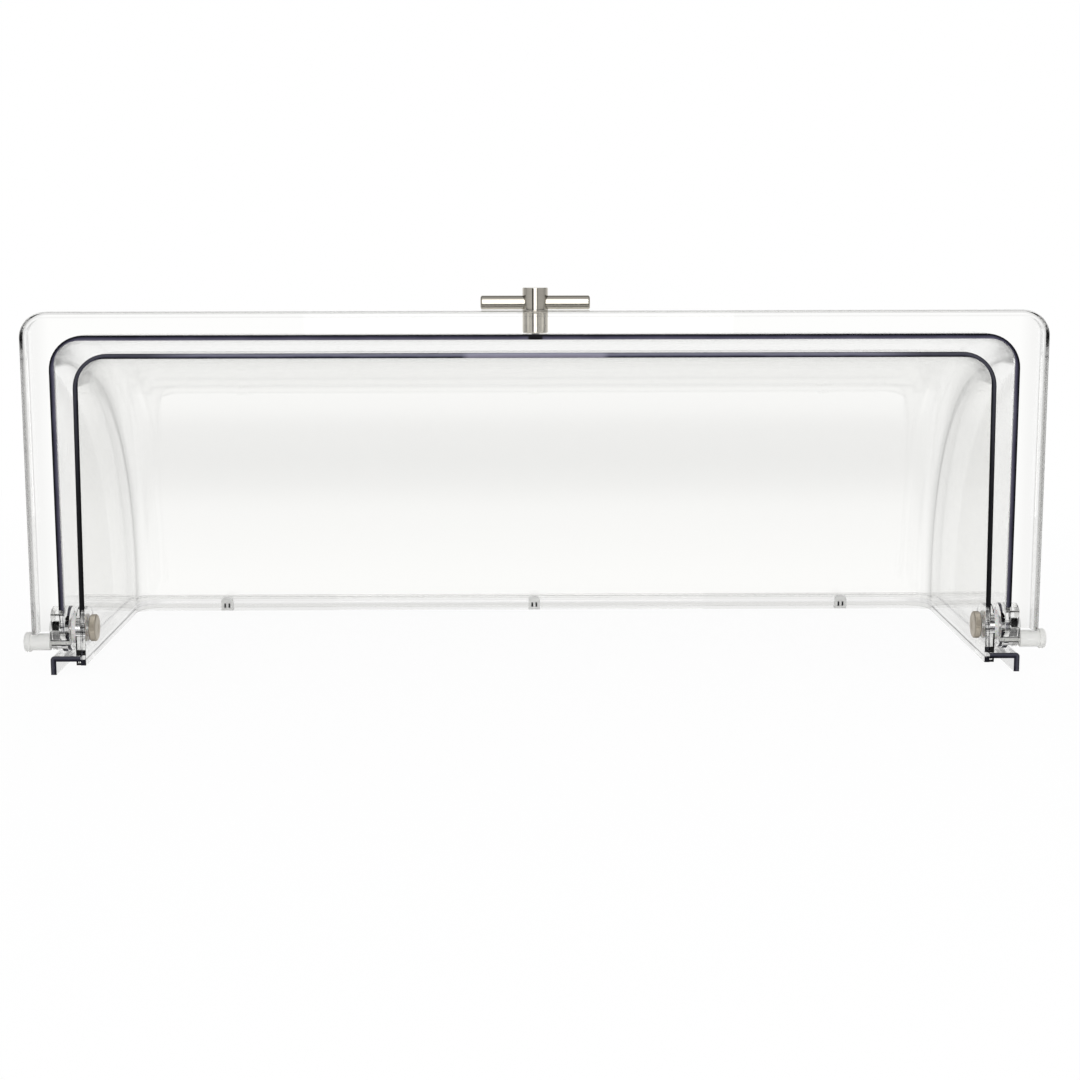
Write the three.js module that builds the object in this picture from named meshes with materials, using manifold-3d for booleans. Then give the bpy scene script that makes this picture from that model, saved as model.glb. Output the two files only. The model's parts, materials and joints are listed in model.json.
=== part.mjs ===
// Clear roll top cover for a full size serving tray, drawn with its lid rolled fully back.
// A fixed quarter round hood stands on the back half of the tray rim, and a larger quarter round lid
// turns round the outside of it on two clamped pivots.
// Units are millimetres. +X is to the right, +Y to the back and +Z up.
// While the pieces are made, Y is zero at the hood's cut front edge and Z is zero at the foot of its rim.
import * as THREE from 'three';
import { mergeVertices, toCreasedNormals } from 'three/addons/utils/BufferGeometryUtils.js';
import Module from 'manifold-3d';

const wasm = await Module();
wasm.setup();

// The tray that the cover fits
const trayLength = 530;
const trayClearance = 0.5;

// Sheet thickness and the gap that touching pieces keep. The sheet is a little thinner round its corners,
// so each inner fillet has a radius of its own.
const wall = 2.8;
const seatGap = 0.3;
const draftAngle = THREE.MathUtils.degToRad(0.5);

// Rim profile, shared by the hood and the lid: a flat flange that ends in a turned down leg
const rimThickness = 3.1;
const rimHeight = 10.6;
const wallDrop = 2.2;
const rimEdgeRadius = 2.2;
const lipEdgeRadius = 0.7;

// Hood
const hoodRimReach = 16.7;
const hoodRadius = 153.5;
const hoodFillet = 19;
const hoodInnerFillet = 14.5;
const hoodRimCorner = 26;

// Lid
const lidSideGap = 8.3;
const lidRoofGap = 7.05;
const lidFillet = 19;
const lidInnerFillet = 13.5;
const lidRimReach = 14.2;
const lidRimRise = 12.8;
const lidRimCorner = 14;

// Pivots
const pivotHeight = 24;
const bossRadius = 12.4;
const hoodBossThickness = 2.8;
const spacerThickness = 3;
const spacerRadius = 8.5;
const lidOuterBossThickness = 5.6;
const shoulderRadius = 3.8;
const shoulderClearance = 0.3;
const threadRadius = 2.5;
const threadLength = 3;
const hexAcrossFlats = 10;
const hexHeight = 4;
const hexChamfer = 0.5;
const pocketClearance = 0.3;

// Thumb nuts
const nutRadius = 7.5;
const nutThickness = 4;
const nutChamfer = 0.7;
const knurlDepth = 0.35;
const knurlCount = 36;

// Side pegs
const pegRadius = 4.7;
const pegHeadRadius = 5.5;
const pegHeadThickness = 3.5;
const pegHeadRound = 1;
const pegShankLength = 10.8;
const pegNeckRadius = 1.7;
const pegDrop = 1.5;

// Handle
const postSetback = 0.8;
const postRadius = 7;
const postHeight = 24.8;
const postChamfer = 0.5;
const barRadius = 3.8;
const barLength = 59.6;
const barHeight = 16.6;
const barEndRound = 1.1;
const barClearance = 0.05;
const screwRadius = 2;
const screwHeadRadius = 3.8;
const screwLength = 9;
const screwDriveRadius = 1.3;
const screwDriveDepth = 1.2;
const screwHoleDepth = 11;

// Rear clips
const clipSideInset = 57.4;
const clipCount = 3;
const clipWidth = 7.4;
const clipThickness = 1.3;
const clipRise = 6.6;
const clipCornerRadius = 2.4;
const clipSlotWidth = 1.1;
const clipSlotHeight = 2.9;
const clipSlotSpacing = 2.6;

// One overrun serves every cut that has to pass a face
const overrun = 5;

// Facet counts
const roofSegments = 30;
const filletSegments = 7;
const roundSegments = 32;
const edgeSegments = 4;
const hexSides = 6;
const quarterTurn = Math.PI / 2;
const creaseAngle = THREE.MathUtils.degToRad(30);

// Sizes that follow from the ones above
const hoodRimHalf = trayLength / 2 + trayClearance + rimThickness;
const hoodHalf = hoodRimHalf - hoodRimReach;
const hoodFlangeBottom = rimHeight - rimThickness;
const hoodWallBottom = hoodFlangeBottom - wallDrop;
const pivotDepth = pivotHeight - rimHeight - seatGap;
const hoodBack = pivotDepth + hoodRadius;
const hoodRimBack = hoodBack + hoodRimReach;
const lidHalf = hoodHalf + lidSideGap + wall;
const lidRadius = hoodRadius + lidRoofGap + wall;
const lidBottom = pivotHeight - pivotDepth;
const lidFlangeFront = wallDrop;
const lidFlangeBack = lidFlangeFront + rimThickness;
const lidLipFront = lidFlangeBack - rimHeight;
const lidRimHalf = lidHalf + lidRimReach;
const lidRimTop = pivotHeight + lidRadius + lidRimRise;
const lidTop = pivotHeight + lidRadius;
const handleDepth = lidFlangeBack + postSetback + postRadius;
const clipSpacing = hoodHalf - clipSideInset;

// Places along X of the pieces stacked on each pivot, from the nut outward
const hoodFaceAtPivot = hoodHalf - pivotHeight * Math.tan(draftAngle);
const nutOuter = hoodFaceAtPivot - wall - seatGap;
const hoodBossFace = hoodFaceAtPivot + hoodBossThickness;
const spacerInner = hoodBossFace + seatGap;
const spacerOuter = spacerInner + spacerThickness;
const lidInnerBossFace = spacerOuter + seatGap;
const lidOuterBossFace = lidHalf + lidOuterBossThickness;
const pocketFloor = lidOuterBossFace - hexHeight - seatGap;
const boltSeat = pocketFloor + seatGap;
const pegShankStart = Math.max(hoodRimHalf, lidOuterBossFace) + seatGap;
const pegShankEnd = pegShankStart + pegShankLength;

// Materials

// Clear moulded plastic, for the two shells
function clearPlastic() {
  return new THREE.MeshStandardMaterial({
    color: 0xeef1f4, roughness: 0.05, metalness: 0, transparent: true, opacity: 0.3,
  });
}

// Frosted plastic, for the pegs and the clips
function frostedPlastic() {
  return new THREE.MeshStandardMaterial({
    color: 0xdedfdc, roughness: 0.45, metalness: 0, transparent: true, opacity: 0.75,
  });
}

// White washers
function whitePlastic() {
  return new THREE.MeshStandardMaterial({ color: 0xf2f2ef, roughness: 0.5, metalness: 0 });
}

// Satin steel of the handle
function satinSteel() {
  return new THREE.MeshStandardMaterial({ color: 0xa8a298, roughness: 0.35, metalness: 1 });
}

// Bright steel of the pivot bolts and the screw
function brightSteel() {
  return new THREE.MeshStandardMaterial({ color: 0xc9cacc, roughness: 0.15, metalness: 1 });
}

// Dull steel of the thumb nuts
function dullSteel() {
  return new THREE.MeshStandardMaterial({ color: 0xa39c8c, roughness: 0.45, metalness: 0.9 });
}

// Solids and booleans

// A closed three.js geometry as a solid that can be cut and joined
function solidOf(geometry) {
  const bare = geometry.clone();
  bare.deleteAttribute('normal');
  bare.deleteAttribute('uv');
  const merged = mergeVertices(bare);
  const vertProperties = Float32Array.from(merged.attributes.position.array);
  const triVerts = Uint32Array.from(merged.index.array);
  return new wasm.Manifold(new wasm.Mesh({ numProp: 3, vertProperties, triVerts }));
}

// The finished solid as a geometry with creased normals
function geometryOf(solid) {
  const mesh = solid.getMesh();
  const geometry = new THREE.BufferGeometry();
  geometry.setAttribute('position', new THREE.BufferAttribute(mesh.vertProperties, mesh.numProp));
  geometry.setIndex(new THREE.BufferAttribute(mesh.triVerts, 1));
  return toCreasedNormals(geometry, creaseAngle);
}

// Points of an arc about (u, v), ends included
function arc(u, v, radius, from, to, segments) {
  const points = [];
  for (let i = 0; i <= segments; i += 1) {
    const angle = from + (to - from) * i / segments;
    points.push(new THREE.Vector2(u + radius * Math.cos(angle), v + radius * Math.sin(angle)));
  }
  return points;
}

// A closed skin through copies of one outline. outlineAt(inset) gives the outline drawn in by inset,
// each station has its place along the third direction, and place puts a point in space.
function loft(outlineAt, stations, place) {
  const rings = stations.map((station) => outlineAt(station.inset));
  const count = rings[0].length;
  const positions = [];
  rings.forEach((ring, i) => {
    ring.forEach((point) => positions.push(...place(point.x, point.y, stations[i].along)));
  });
  const index = [];
  for (let i = 0; i + 1 < rings.length; i += 1) {
    for (let j = 0; j < count; j += 1) {
      const a = i * count + j;
      const b = i * count + (j + 1) % count;
      index.push(a, b, b + count, a, b + count, a + count);
    }
  }
  const last = (rings.length - 1) * count;
  THREE.ShapeUtils.triangulateShape(rings[0], []).forEach(([a, b, c]) => index.push(a, c, b));
  THREE.ShapeUtils.triangulateShape(rings[rings.length - 1], []).forEach(([a, b, c]) => {
    index.push(last + a, last + b, last + c);
  });
  const geometry = new THREE.BufferGeometry();
  geometry.setAttribute('position', new THREE.Float32BufferAttribute(positions, 3));
  geometry.setIndex(index);
  return solidOf(facingOut(geometry));
}

// Turns the triangles over where they enclose a negative volume
function facingOut(geometry) {
  const position = geometry.attributes.position;
  const corners = [new THREE.Vector3(), new THREE.Vector3(), new THREE.Vector3()];
  const index = geometry.index.array;
  let volume = 0;
  for (let i = 0; i < index.length; i += 3) {
    corners.forEach((corner, k) => corner.fromBufferAttribute(position, index[i + k]));
    volume += corners[0].dot(corners[1].clone().cross(corners[2]));
  }
  if (volume < 0) {
    for (let i = 0; i < index.length; i += 3) {
      [index[i + 1], index[i + 2]] = [index[i + 2], index[i + 1]];
    }
  }
  return geometry;
}

// Places for the three ways to stack an outline
const alongY = (u, v, y) => [u, y, v];
const alongZ = (u, v, z) => [u, v, z];
const alongX = (u, v, x) => [x, u, v];

// Stations that round both ends of a stack with quarter circles of the given radii
function roundedStations(start, end, startRadius, endRadius, segments) {
  const stations = [];
  for (let i = 0; i <= segments && startRadius > 0; i += 1) {
    const angle = quarterTurn * i / segments;
    stations.push({
      along: start + startRadius * (1 - Math.sin(angle)),
      inset: startRadius * (1 - Math.cos(angle)),
    });
  }
  stations.reverse();
  if (startRadius === 0) {
    stations.push({ along: start, inset: 0 });
  }
  for (let i = 0; i <= segments && endRadius > 0; i += 1) {
    const angle = quarterTurn * i / segments;
    stations.push({
      along: end - endRadius * (1 - Math.sin(angle)),
      inset: endRadius * (1 - Math.cos(angle)),
    });
  }
  if (endRadius === 0) {
    stations.push({ along: end, inset: 0 });
  }
  return stations;
}

// An outline pulled out straight between two places along X
function barAlongX(points, from, to) {
  return loft(() => points, [{ along: from, inset: 0 }, { along: to, inset: 0 }], alongX);
}

// A turned solid on the pivot axis. The profile lists [distance from the middle of the cover, radius].
function turnedOnX(profile, y, z, segments) {
  const points = profile.map(([x, radius]) => new THREE.Vector2(radius, x));
  const geometry = new THREE.LatheGeometry(points, segments);
  geometry.rotateZ(-quarterTurn);
  geometry.translate(0, y, z);
  return solidOf(geometry);
}

// A turned solid on an upright axis. The profile lists [radius, height].
function turnedOnZ(profile, x, y, segments) {
  const points = profile.map(([radius, z]) => new THREE.Vector2(radius, z));
  const geometry = new THREE.LatheGeometry(points, segments);
  geometry.rotateX(quarterTurn);
  geometry.translate(x, y, 0);
  return solidOf(geometry);
}

// A plain disc on the pivot axis between two places along X
function discOnX(radius, from, to, y, z) {
  return turnedOnX([[from, 0], [from, radius], [to, radius], [to, 0]], y, z, roundSegments);
}

// The same solid on the other side of the cover
function mirrored(solid) {
  return solid.mirror([1, 0, 0]);
}

// Outlines

// Side view of a quarter round shell: a roof arc about the pivot, a straight back below it,
// and a short straight run in front of it
function quarterOutline(front, bottom, radius) {
  return (inset) => [
    new THREE.Vector2(front, bottom),
    new THREE.Vector2(pivotDepth + radius - inset, bottom),
    ...arc(pivotDepth, pivotHeight, radius - inset, 0, quarterTurn, roofSegments),
    new THREE.Vector2(front, pivotHeight + radius - inset),
  ];
}

// The lid's side view. Its front lower corner is round about the pivot, so that it clears the rim.
function lidOutline(inset) {
  return [
    ...arc(pivotDepth, pivotHeight, pivotDepth, Math.PI, 3 * quarterTurn, filletSegments),
    new THREE.Vector2(pivotDepth + lidRadius - inset, lidBottom),
    ...arc(pivotDepth, pivotHeight, lidRadius - inset, 0, quarterTurn, roofSegments),
    new THREE.Vector2(0, lidTop - inset),
  ];
}

// A flat arch, open at its straight end: two legs joined by a far side with round corners
function archOutline(half, near, far, corner) {
  return (inset) => {
    const radius = Math.max(corner - inset, 0);
    const right = half - inset - radius;
    const end = far - inset - radius;
    return [
      new THREE.Vector2(-half + inset, near),
      new THREE.Vector2(half - inset, near),
      ...arc(right, end, radius, 0, quarterTurn, filletSegments),
      ...arc(-right, end, radius, quarterTurn, Math.PI, filletSegments),
    ];
  };
}

// A quarter round block with filleted sides that lean in by the draft. leanAlong picks what it grows with.
function shellBlock(outlineAt, half, fillet, leanAlong) {
  const stations = roundedStations(-half, half, fillet, fillet, filletSegments);
  const lean = Math.tan(draftAngle) / half;
  const place = (y, z, x) => [x * (1 - lean * leanAlong(y, z)), y, z];
  return loft(outlineAt, stations, place);
}

// A U shaped rim: a plate with rounded outer edge, less the channel under it
function rimBlock(half, far, near, corner, stack, place) {
  const outer = loft(
    archOutline(half, near, far, corner),
    roundedStations(stack.lip, stack.back, stack.lipRadius, rimEdgeRadius, edgeSegments),
    place,
  );
  const channel = loft(
    archOutline(half - rimThickness, near - overrun, far - rimThickness, corner - rimThickness),
    [{ along: stack.lip - overrun, inset: 0 }, { along: stack.face, inset: 0 }],
    place,
  );
  return outer.subtract(channel);
}

// Hood

// Boss round the pivot that runs down to the foot of the wall
function hoodBoss() {
  const points = [
    ...arc(pivotDepth, pivotHeight, bossRadius, 0, Math.PI, roundSegments / 2),
    new THREE.Vector2(pivotDepth - bossRadius, hoodWallBottom),
    new THREE.Vector2(pivotDepth + bossRadius, hoodWallBottom),
  ];
  return barAlongX(points, hoodFaceAtPivot - wall / 2, hoodBossFace);
}

function rearShell() {
  const leanUp = (y, z) => z;
  const outside = shellBlock(
    quarterOutline(0, hoodWallBottom, hoodRadius), hoodHalf, hoodFillet, leanUp,
  );
  const inside = shellBlock(
    quarterOutline(-overrun, -overrun, hoodRadius - wall), hoodHalf - wall, hoodInnerFillet, leanUp,
  );
  const rim = rimBlock(
    hoodRimHalf, hoodRimBack, 0, hoodRimCorner,
    { lip: 0, lipRadius: 0, face: hoodFlangeBottom, back: rimHeight }, alongZ,
  );
  const boss = hoodBoss();
  const bore = discOnX(
    shoulderRadius + shoulderClearance, -hoodBossFace - overrun, hoodBossFace + overrun,
    pivotDepth, pivotHeight,
  );
  return rim.add(outside).subtract(inside).add(boss).add(mirrored(boss)).subtract(bore);
}

// Lid

// Round boss that stands proud of both faces of the lid wall
function lidBoss() {
  return discOnX(bossRadius, lidInnerBossFace, lidOuterBossFace, pivotDepth, pivotHeight);
}

// Distance from the middle of a hexagon to its corners
function hexCornerRadius(acrossFlats) {
  return acrossFlats / 2 / Math.cos(Math.PI / hexSides);
}

// Hexagon about the pivot with the given size across its flats
function hexOutline(acrossFlats) {
  const corners = arc(
    pivotDepth, pivotHeight, hexCornerRadius(acrossFlats), 0, 4 * quarterTurn, hexSides,
  );
  return corners.slice(0, hexSides);
}

// What one boss loses: the bore for the bolt, the pocket for its head and the hole for the peg's neck
function lidCuts() {
  const bore = discOnX(
    shoulderRadius + shoulderClearance, 0, lidOuterBossFace + overrun, pivotDepth, pivotHeight,
  );
  const pocket = barAlongX(
    hexOutline(hexAcrossFlats + 2 * pocketClearance), pocketFloor, lidOuterBossFace + overrun,
  );
  const neckHole = discOnX(
    pegNeckRadius + seatGap, 0, lidOuterBossFace + overrun, pegDepth, pegHeight,
  );
  return bore.add(pocket).add(neckHole);
}

function lidShell() {
  const leanBack = (y) => y;
  const outside = shellBlock(lidOutline, lidHalf, lidFillet, leanBack);
  const inside = shellBlock(
    quarterOutline(-overrun, lidBottom - overrun, lidRadius - wall), lidHalf - wall, lidInnerFillet,
    leanBack,
  );
  const rim = rimBlock(
    lidRimHalf, lidRimTop, pivotHeight, lidRimCorner,
    { lip: lidLipFront, lipRadius: lipEdgeRadius, face: lidFlangeFront, back: lidFlangeBack }, alongY,
  );
  const boss = lidBoss();
  const cuts = lidCuts();
  return rim.add(outside).subtract(inside).add(boss).add(mirrored(boss))
    .subtract(cuts).subtract(mirrored(cuts)).subtract(countersink());
}

// Pegs

// The peg lies level with the lid's front edge, below the end of the lid's rim
const pegDepth = pegRadius;
const pegHeight = pivotHeight - pegDrop - pegRadius;

function sidePeg() {
  return turnedOnX(
    [
      [lidInnerBossFace, 0],
      [lidInnerBossFace, pegNeckRadius],
      [pegShankStart, pegNeckRadius],
      [pegShankStart, pegRadius],
      [pegShankEnd, pegRadius],
      [pegShankEnd, pegHeadRadius],
      ...arc(pegShankEnd + pegHeadThickness - pegHeadRound, pegHeadRadius - pegHeadRound,
        pegHeadRound, quarterTurn, 0, edgeSegments).map((point) => [point.x, point.y]),
      [pegShankEnd + pegHeadThickness, 0],
    ],
    pegDepth, pegHeight, roundSegments,
  );
}

// Pivot hardware

// Shoulder bolt: hexagon head in the lid's pocket, plain shoulder through both walls,
// and a short thread for the nut
function pivotBolt() {
  const head = barAlongX(hexOutline(hexAcrossFlats), boltSeat, boltSeat + hexHeight);
  const cornerRadius = hexCornerRadius(hexAcrossFlats);
  const chamfered = turnedOnX(
    [
      [boltSeat, 0],
      [boltSeat, cornerRadius],
      [boltSeat + hexHeight - hexChamfer, cornerRadius],
      [boltSeat + hexHeight, hexAcrossFlats / 2],
      [boltSeat + hexHeight, 0],
    ],
    pivotDepth, pivotHeight, roundSegments,
  );
  const shoulderEnd = nutOuter + seatGap;
  const shank = turnedOnX(
    [
      [shoulderEnd - threadLength, 0],
      [shoulderEnd - threadLength, threadRadius],
      [shoulderEnd, threadRadius],
      [shoulderEnd, shoulderRadius],
      [boltSeat + hexHeight / 2, shoulderRadius],
      [boltSeat + hexHeight / 2, 0],
    ],
    pivotDepth, pivotHeight, roundSegments,
  );
  return head.intersect(chamfered).add(shank);
}

function spacerWasher() {
  const disc = discOnX(spacerRadius, spacerInner, spacerOuter, pivotDepth, pivotHeight);
  const bore = discOnX(
    shoulderRadius + shoulderClearance, spacerInner - overrun, spacerOuter + overrun,
    pivotDepth, pivotHeight,
  );
  return disc.subtract(bore);
}

// Knurled outline about the pivot, drawn in by inset
function knurlOutline(inset) {
  const points = [];
  for (let i = 0; i < 2 * knurlCount; i += 1) {
    const angle = Math.PI * i / knurlCount;
    const radius = nutRadius - inset - (i % 2) * knurlDepth;
    points.push(new THREE.Vector2(
      pivotDepth + radius * Math.cos(angle), pivotHeight + radius * Math.sin(angle),
    ));
  }
  return points;
}

function thumbNut() {
  const inner = nutOuter - nutThickness;
  const body = loft(knurlOutline, [
    { along: inner, inset: nutChamfer },
    { along: inner + nutChamfer, inset: 0 },
    { along: nutOuter - nutChamfer, inset: 0 },
    { along: nutOuter, inset: nutChamfer },
  ], alongX);
  const bore = discOnX(
    threadRadius + shoulderClearance, nutOuter - threadLength, nutOuter + overrun,
    pivotDepth, pivotHeight,
  );
  return body.subtract(bore);
}

// Handle

// The post stands on the top of the lid's roof, close behind the flange
const postBottom = lidTop + seatGap;
const barCentre = lidTop + barHeight;

function handlePost() {
  const top = lidTop + postHeight;
  const post = turnedOnZ(
    [
      [0, postBottom],
      [postRadius - postChamfer, postBottom],
      [postRadius, postBottom + postChamfer],
      [postRadius, top - postChamfer],
      [postRadius - postChamfer, top],
      [0, top],
    ],
    0, handleDepth, roundSegments,
  );
  const screwHole = turnedOnZ(
    [
      [0, postBottom - overrun],
      [screwRadius + seatGap, postBottom - overrun],
      [screwRadius + seatGap, lidTop - wall + screwHoleDepth],
      [0, lidTop - wall + screwHoleDepth],
    ],
    0, handleDepth, roundSegments,
  );
  const barHole = discOnX(
    barRadius + barClearance, -postRadius - overrun, postRadius + overrun, handleDepth, barCentre,
  );
  return post.subtract(screwHole).subtract(barHole);
}

function handleBar() {
  const end = barLength / 2;
  const round = arc(end - barEndRound, barRadius - barEndRound, barEndRound,
    quarterTurn, 0, edgeSegments).map((point) => [point.x, point.y]);
  const profile = [
    [-end, 0],
    ...round.map(([x, radius]) => [-x, radius]).reverse(),
    ...round,
    [end, 0],
  ];
  return turnedOnX(profile, handleDepth, barCentre, roundSegments);
}

// Countersunk hole through the lid wall for the handle screw
function countersink() {
  const bottom = lidTop - wall;
  return turnedOnZ(
    [
      [0, bottom - overrun],
      [screwHeadRadius + seatGap, bottom - overrun],
      [screwHeadRadius + seatGap, bottom],
      [screwRadius + seatGap, bottom + screwHeadRadius - screwRadius],
      [screwRadius + seatGap, lidTop + overrun],
      [0, lidTop + overrun],
    ],
    0, handleDepth, roundSegments,
  );
}

function handleScrew() {
  const bottom = lidTop - wall;
  const screw = turnedOnZ(
    [
      [0, bottom],
      [screwHeadRadius, bottom],
      [screwRadius, bottom + screwHeadRadius - screwRadius],
      [screwRadius, bottom + screwLength],
      [0, bottom + screwLength],
    ],
    0, handleDepth, roundSegments,
  );
  const drive = turnedOnZ(
    [
      [0, bottom - overrun],
      [screwDriveRadius, bottom - overrun],
      [screwDriveRadius, bottom + screwDriveDepth],
      [0, bottom + screwDriveDepth],
    ],
    0, handleDepth, hexSides,
  );
  return screw.subtract(drive);
}

// Rear clips

// Side view of a clip: a plate on the inner face of the back wall and a foot under its bottom edge.
// The foot stops level with the outer face, so that the channel for the tray's rim stays free.
function clipAngle() {
  const face = hoodBack - wall - seatGap;
  const front = face - clipThickness;
  const underside = hoodWallBottom - seatGap - clipThickness;
  const points = [
    new THREE.Vector2(front, underside),
    new THREE.Vector2(hoodBack, underside),
    new THREE.Vector2(hoodBack, underside + clipThickness),
    new THREE.Vector2(face, underside + clipThickness),
    new THREE.Vector2(face, hoodWallBottom + clipRise),
    new THREE.Vector2(front, hoodWallBottom + clipRise),
  ];
  return barAlongX(points, -clipWidth / 2, clipWidth / 2);
}

function rearClip(x) {
  const front = hoodBack - wall - seatGap - clipThickness;
  const tab = loft(
    archOutline(clipWidth / 2, 0, hoodWallBottom + clipRise, clipCornerRadius),
    [{ along: front - overrun, inset: 0 }, { along: hoodBack + overrun, inset: 0 }],
    alongY,
  );
  let clip = clipAngle().intersect(tab);
  for (const side of [-1, 1]) {
    const centre = side * clipSlotSpacing / 2;
    const slot = loft(
      () => [
        new THREE.Vector2(centre - clipSlotWidth / 2, hoodWallBottom),
        new THREE.Vector2(centre + clipSlotWidth / 2, hoodWallBottom),
        new THREE.Vector2(centre + clipSlotWidth / 2, hoodWallBottom + clipSlotHeight),
        new THREE.Vector2(centre - clipSlotWidth / 2, hoodWallBottom + clipSlotHeight),
      ],
      [{ along: front - overrun, inset: 0 }, { along: hoodBack - wall, inset: 0 }],
      alongY,
    );
    clip = clip.subtract(slot);
  }
  return clip.translate([x, 0, 0]);
}

// Assembly

const cover = new THREE.Group();

function add(name, solid, material) {
  const mesh = new THREE.Mesh(geometryOf(solid), material);
  mesh.name = name;
  cover.add(mesh);
}

// The same piece on both sides, named for its side
function addPair(name, solid, material) {
  add(`right_${name}`, solid, material());
  add(`left_${name}`, mirrored(solid), material());
}

add('rear_shell', rearShell(), clearPlastic());
add('lid_shell', lidShell(), clearPlastic());
add('handle_post', handlePost(), satinSteel());
add('handle_bar', handleBar(), satinSteel());
add('handle_screw', handleScrew(), brightSteel());
addPair('pivot_bolt', pivotBolt(), brightSteel);
addPair('thumb_nut', thumbNut(), dullSteel);
addPair('spacer_washer', spacerWasher(), whitePlastic);
addPair('side_peg', sidePeg(), frostedPlastic);
for (let i = 0; i < clipCount; i += 1) {
  add(`rear_clip_${i + 1}`, rearClip((i - (clipCount - 1) / 2) * clipSpacing), frostedPlastic());
}

// The origin is the middle of the footprint, on the surface that the rim stands on
cover.position.y = -(lidLipFront + hoodRimBack) / 2;

export default cover;
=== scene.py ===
"""The looks of a clear roll top cover for a serving tray, built round its packed frame.

Lengths are in metres and the frame is the row's own: X along the pivots, Y to the back, Z up.
"""

import json
import math
from functools import partial

import bmesh
import bpy
from mathutils import Matrix, Vector


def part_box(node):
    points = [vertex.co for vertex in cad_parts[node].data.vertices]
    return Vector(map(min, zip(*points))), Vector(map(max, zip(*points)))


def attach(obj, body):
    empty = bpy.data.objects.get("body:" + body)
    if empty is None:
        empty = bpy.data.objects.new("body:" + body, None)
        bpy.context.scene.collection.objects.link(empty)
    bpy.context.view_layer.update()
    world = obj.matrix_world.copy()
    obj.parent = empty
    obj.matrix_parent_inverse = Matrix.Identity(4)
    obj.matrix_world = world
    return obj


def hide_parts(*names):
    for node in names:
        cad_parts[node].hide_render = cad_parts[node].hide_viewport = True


bl_info = {
    "name": "Roll top tray cover",
    "version": (1, 0, 0),
    "blender": (4, 5, 0),
    "location": "3D Viewport > Sidebar > Tray cover",
    "description": "Builds the finished pieces of a clear roll top tray cover on its packed frame",
    "category": "Add Mesh",
}

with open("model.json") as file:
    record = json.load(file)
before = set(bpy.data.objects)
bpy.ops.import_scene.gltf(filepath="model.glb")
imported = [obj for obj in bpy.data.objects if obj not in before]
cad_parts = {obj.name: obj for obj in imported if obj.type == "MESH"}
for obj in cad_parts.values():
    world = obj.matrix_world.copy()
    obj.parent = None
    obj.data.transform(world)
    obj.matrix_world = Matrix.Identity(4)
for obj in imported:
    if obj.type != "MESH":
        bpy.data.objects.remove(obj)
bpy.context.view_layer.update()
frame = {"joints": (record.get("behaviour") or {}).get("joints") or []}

MM = 0.001
QUARTER = math.pi / 2


def joint_place(name):
    """Where a joint's axis stands in the frame."""
    return Vector(next(joint for joint in frame["joints"] if joint["name"] == name)["pos_m"])


# Places that come from the frame
PIVOT = joint_place("lid_roll")
HOOD_LOW, HOOD_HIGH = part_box("rear_shell")
LID_LOW, LID_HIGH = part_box("lid_shell")
FRONT = HOOD_LOW.y
HOOD_RADIUS = HOOD_HIGH.z - PIVOT.z
HOOD_BACK = PIVOT.y + HOOD_RADIUS
HOOD_RIM_REACH = HOOD_HIGH.y - HOOD_BACK
HOOD_HALF = HOOD_HIGH.x - HOOD_RIM_REACH
LID_RADIUS = LID_HIGH.y - PIVOT.y
LID_ROOF = PIVOT.z + LID_RADIUS

# How far a cutting solid runs on past what it cuts
PAST = 5 * MM

# How closely a face has to point one way, and lie in a plane, to count as a cut face
STRAIGHT = 0.99
NEAR = 0.01 * MM

# Steps round the roof's quarter, a corner, a fillet and a small rounded edge
ROOF_STEPS = 60
CORNER_STEPS = 16
FILLET_STEPS = 12
EDGE_STEPS = 6

# What a hexagon's size across its corners takes to give the size across its flats
FLATS_TO_CORNERS = math.cos(math.pi / 6)

# How deep four places round a thumb nut lie in a groove, and the screw's hole in the post
GROOVE = (0.0, 0.5, 1.0, 0.5)
SCREW_CLEARANCE = 0.3 * MM
SCREW_HOLE_DEPTH = 8 * MM


# Sizes and colours that a user may change


def length(name, default, description):
    """A length in metres, given in millimetres."""
    return bpy.props.FloatProperty(
        name=name, description=description, default=default * MM, min=0, unit="LENGTH", precision=5
    )


def level(name, default, description, most):
    """A plain number from nothing to the most that makes sense."""
    return bpy.props.FloatProperty(
        name=name, description=description, default=default, min=0, max=most
    )


def colour(name, default, description):
    """A colour given as an sRGB hex value."""
    return bpy.props.FloatVectorProperty(
        name=name, description=description, default=linear(default)[:3], size=3, min=0, max=1,
        subtype="COLOR",
    )


def linear(code):
    """The linear colour, with alpha 1, of an sRGB hex value such as #A8A298."""
    shares = [int(code[i : i + 2], 16) / 255 for i in (1, 3, 5)]
    return tuple(s / 12.92 if s <= 0.04045 else ((s + 0.055) / 1.055) ** 2.4 for s in shares) + (1.0,)


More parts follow.
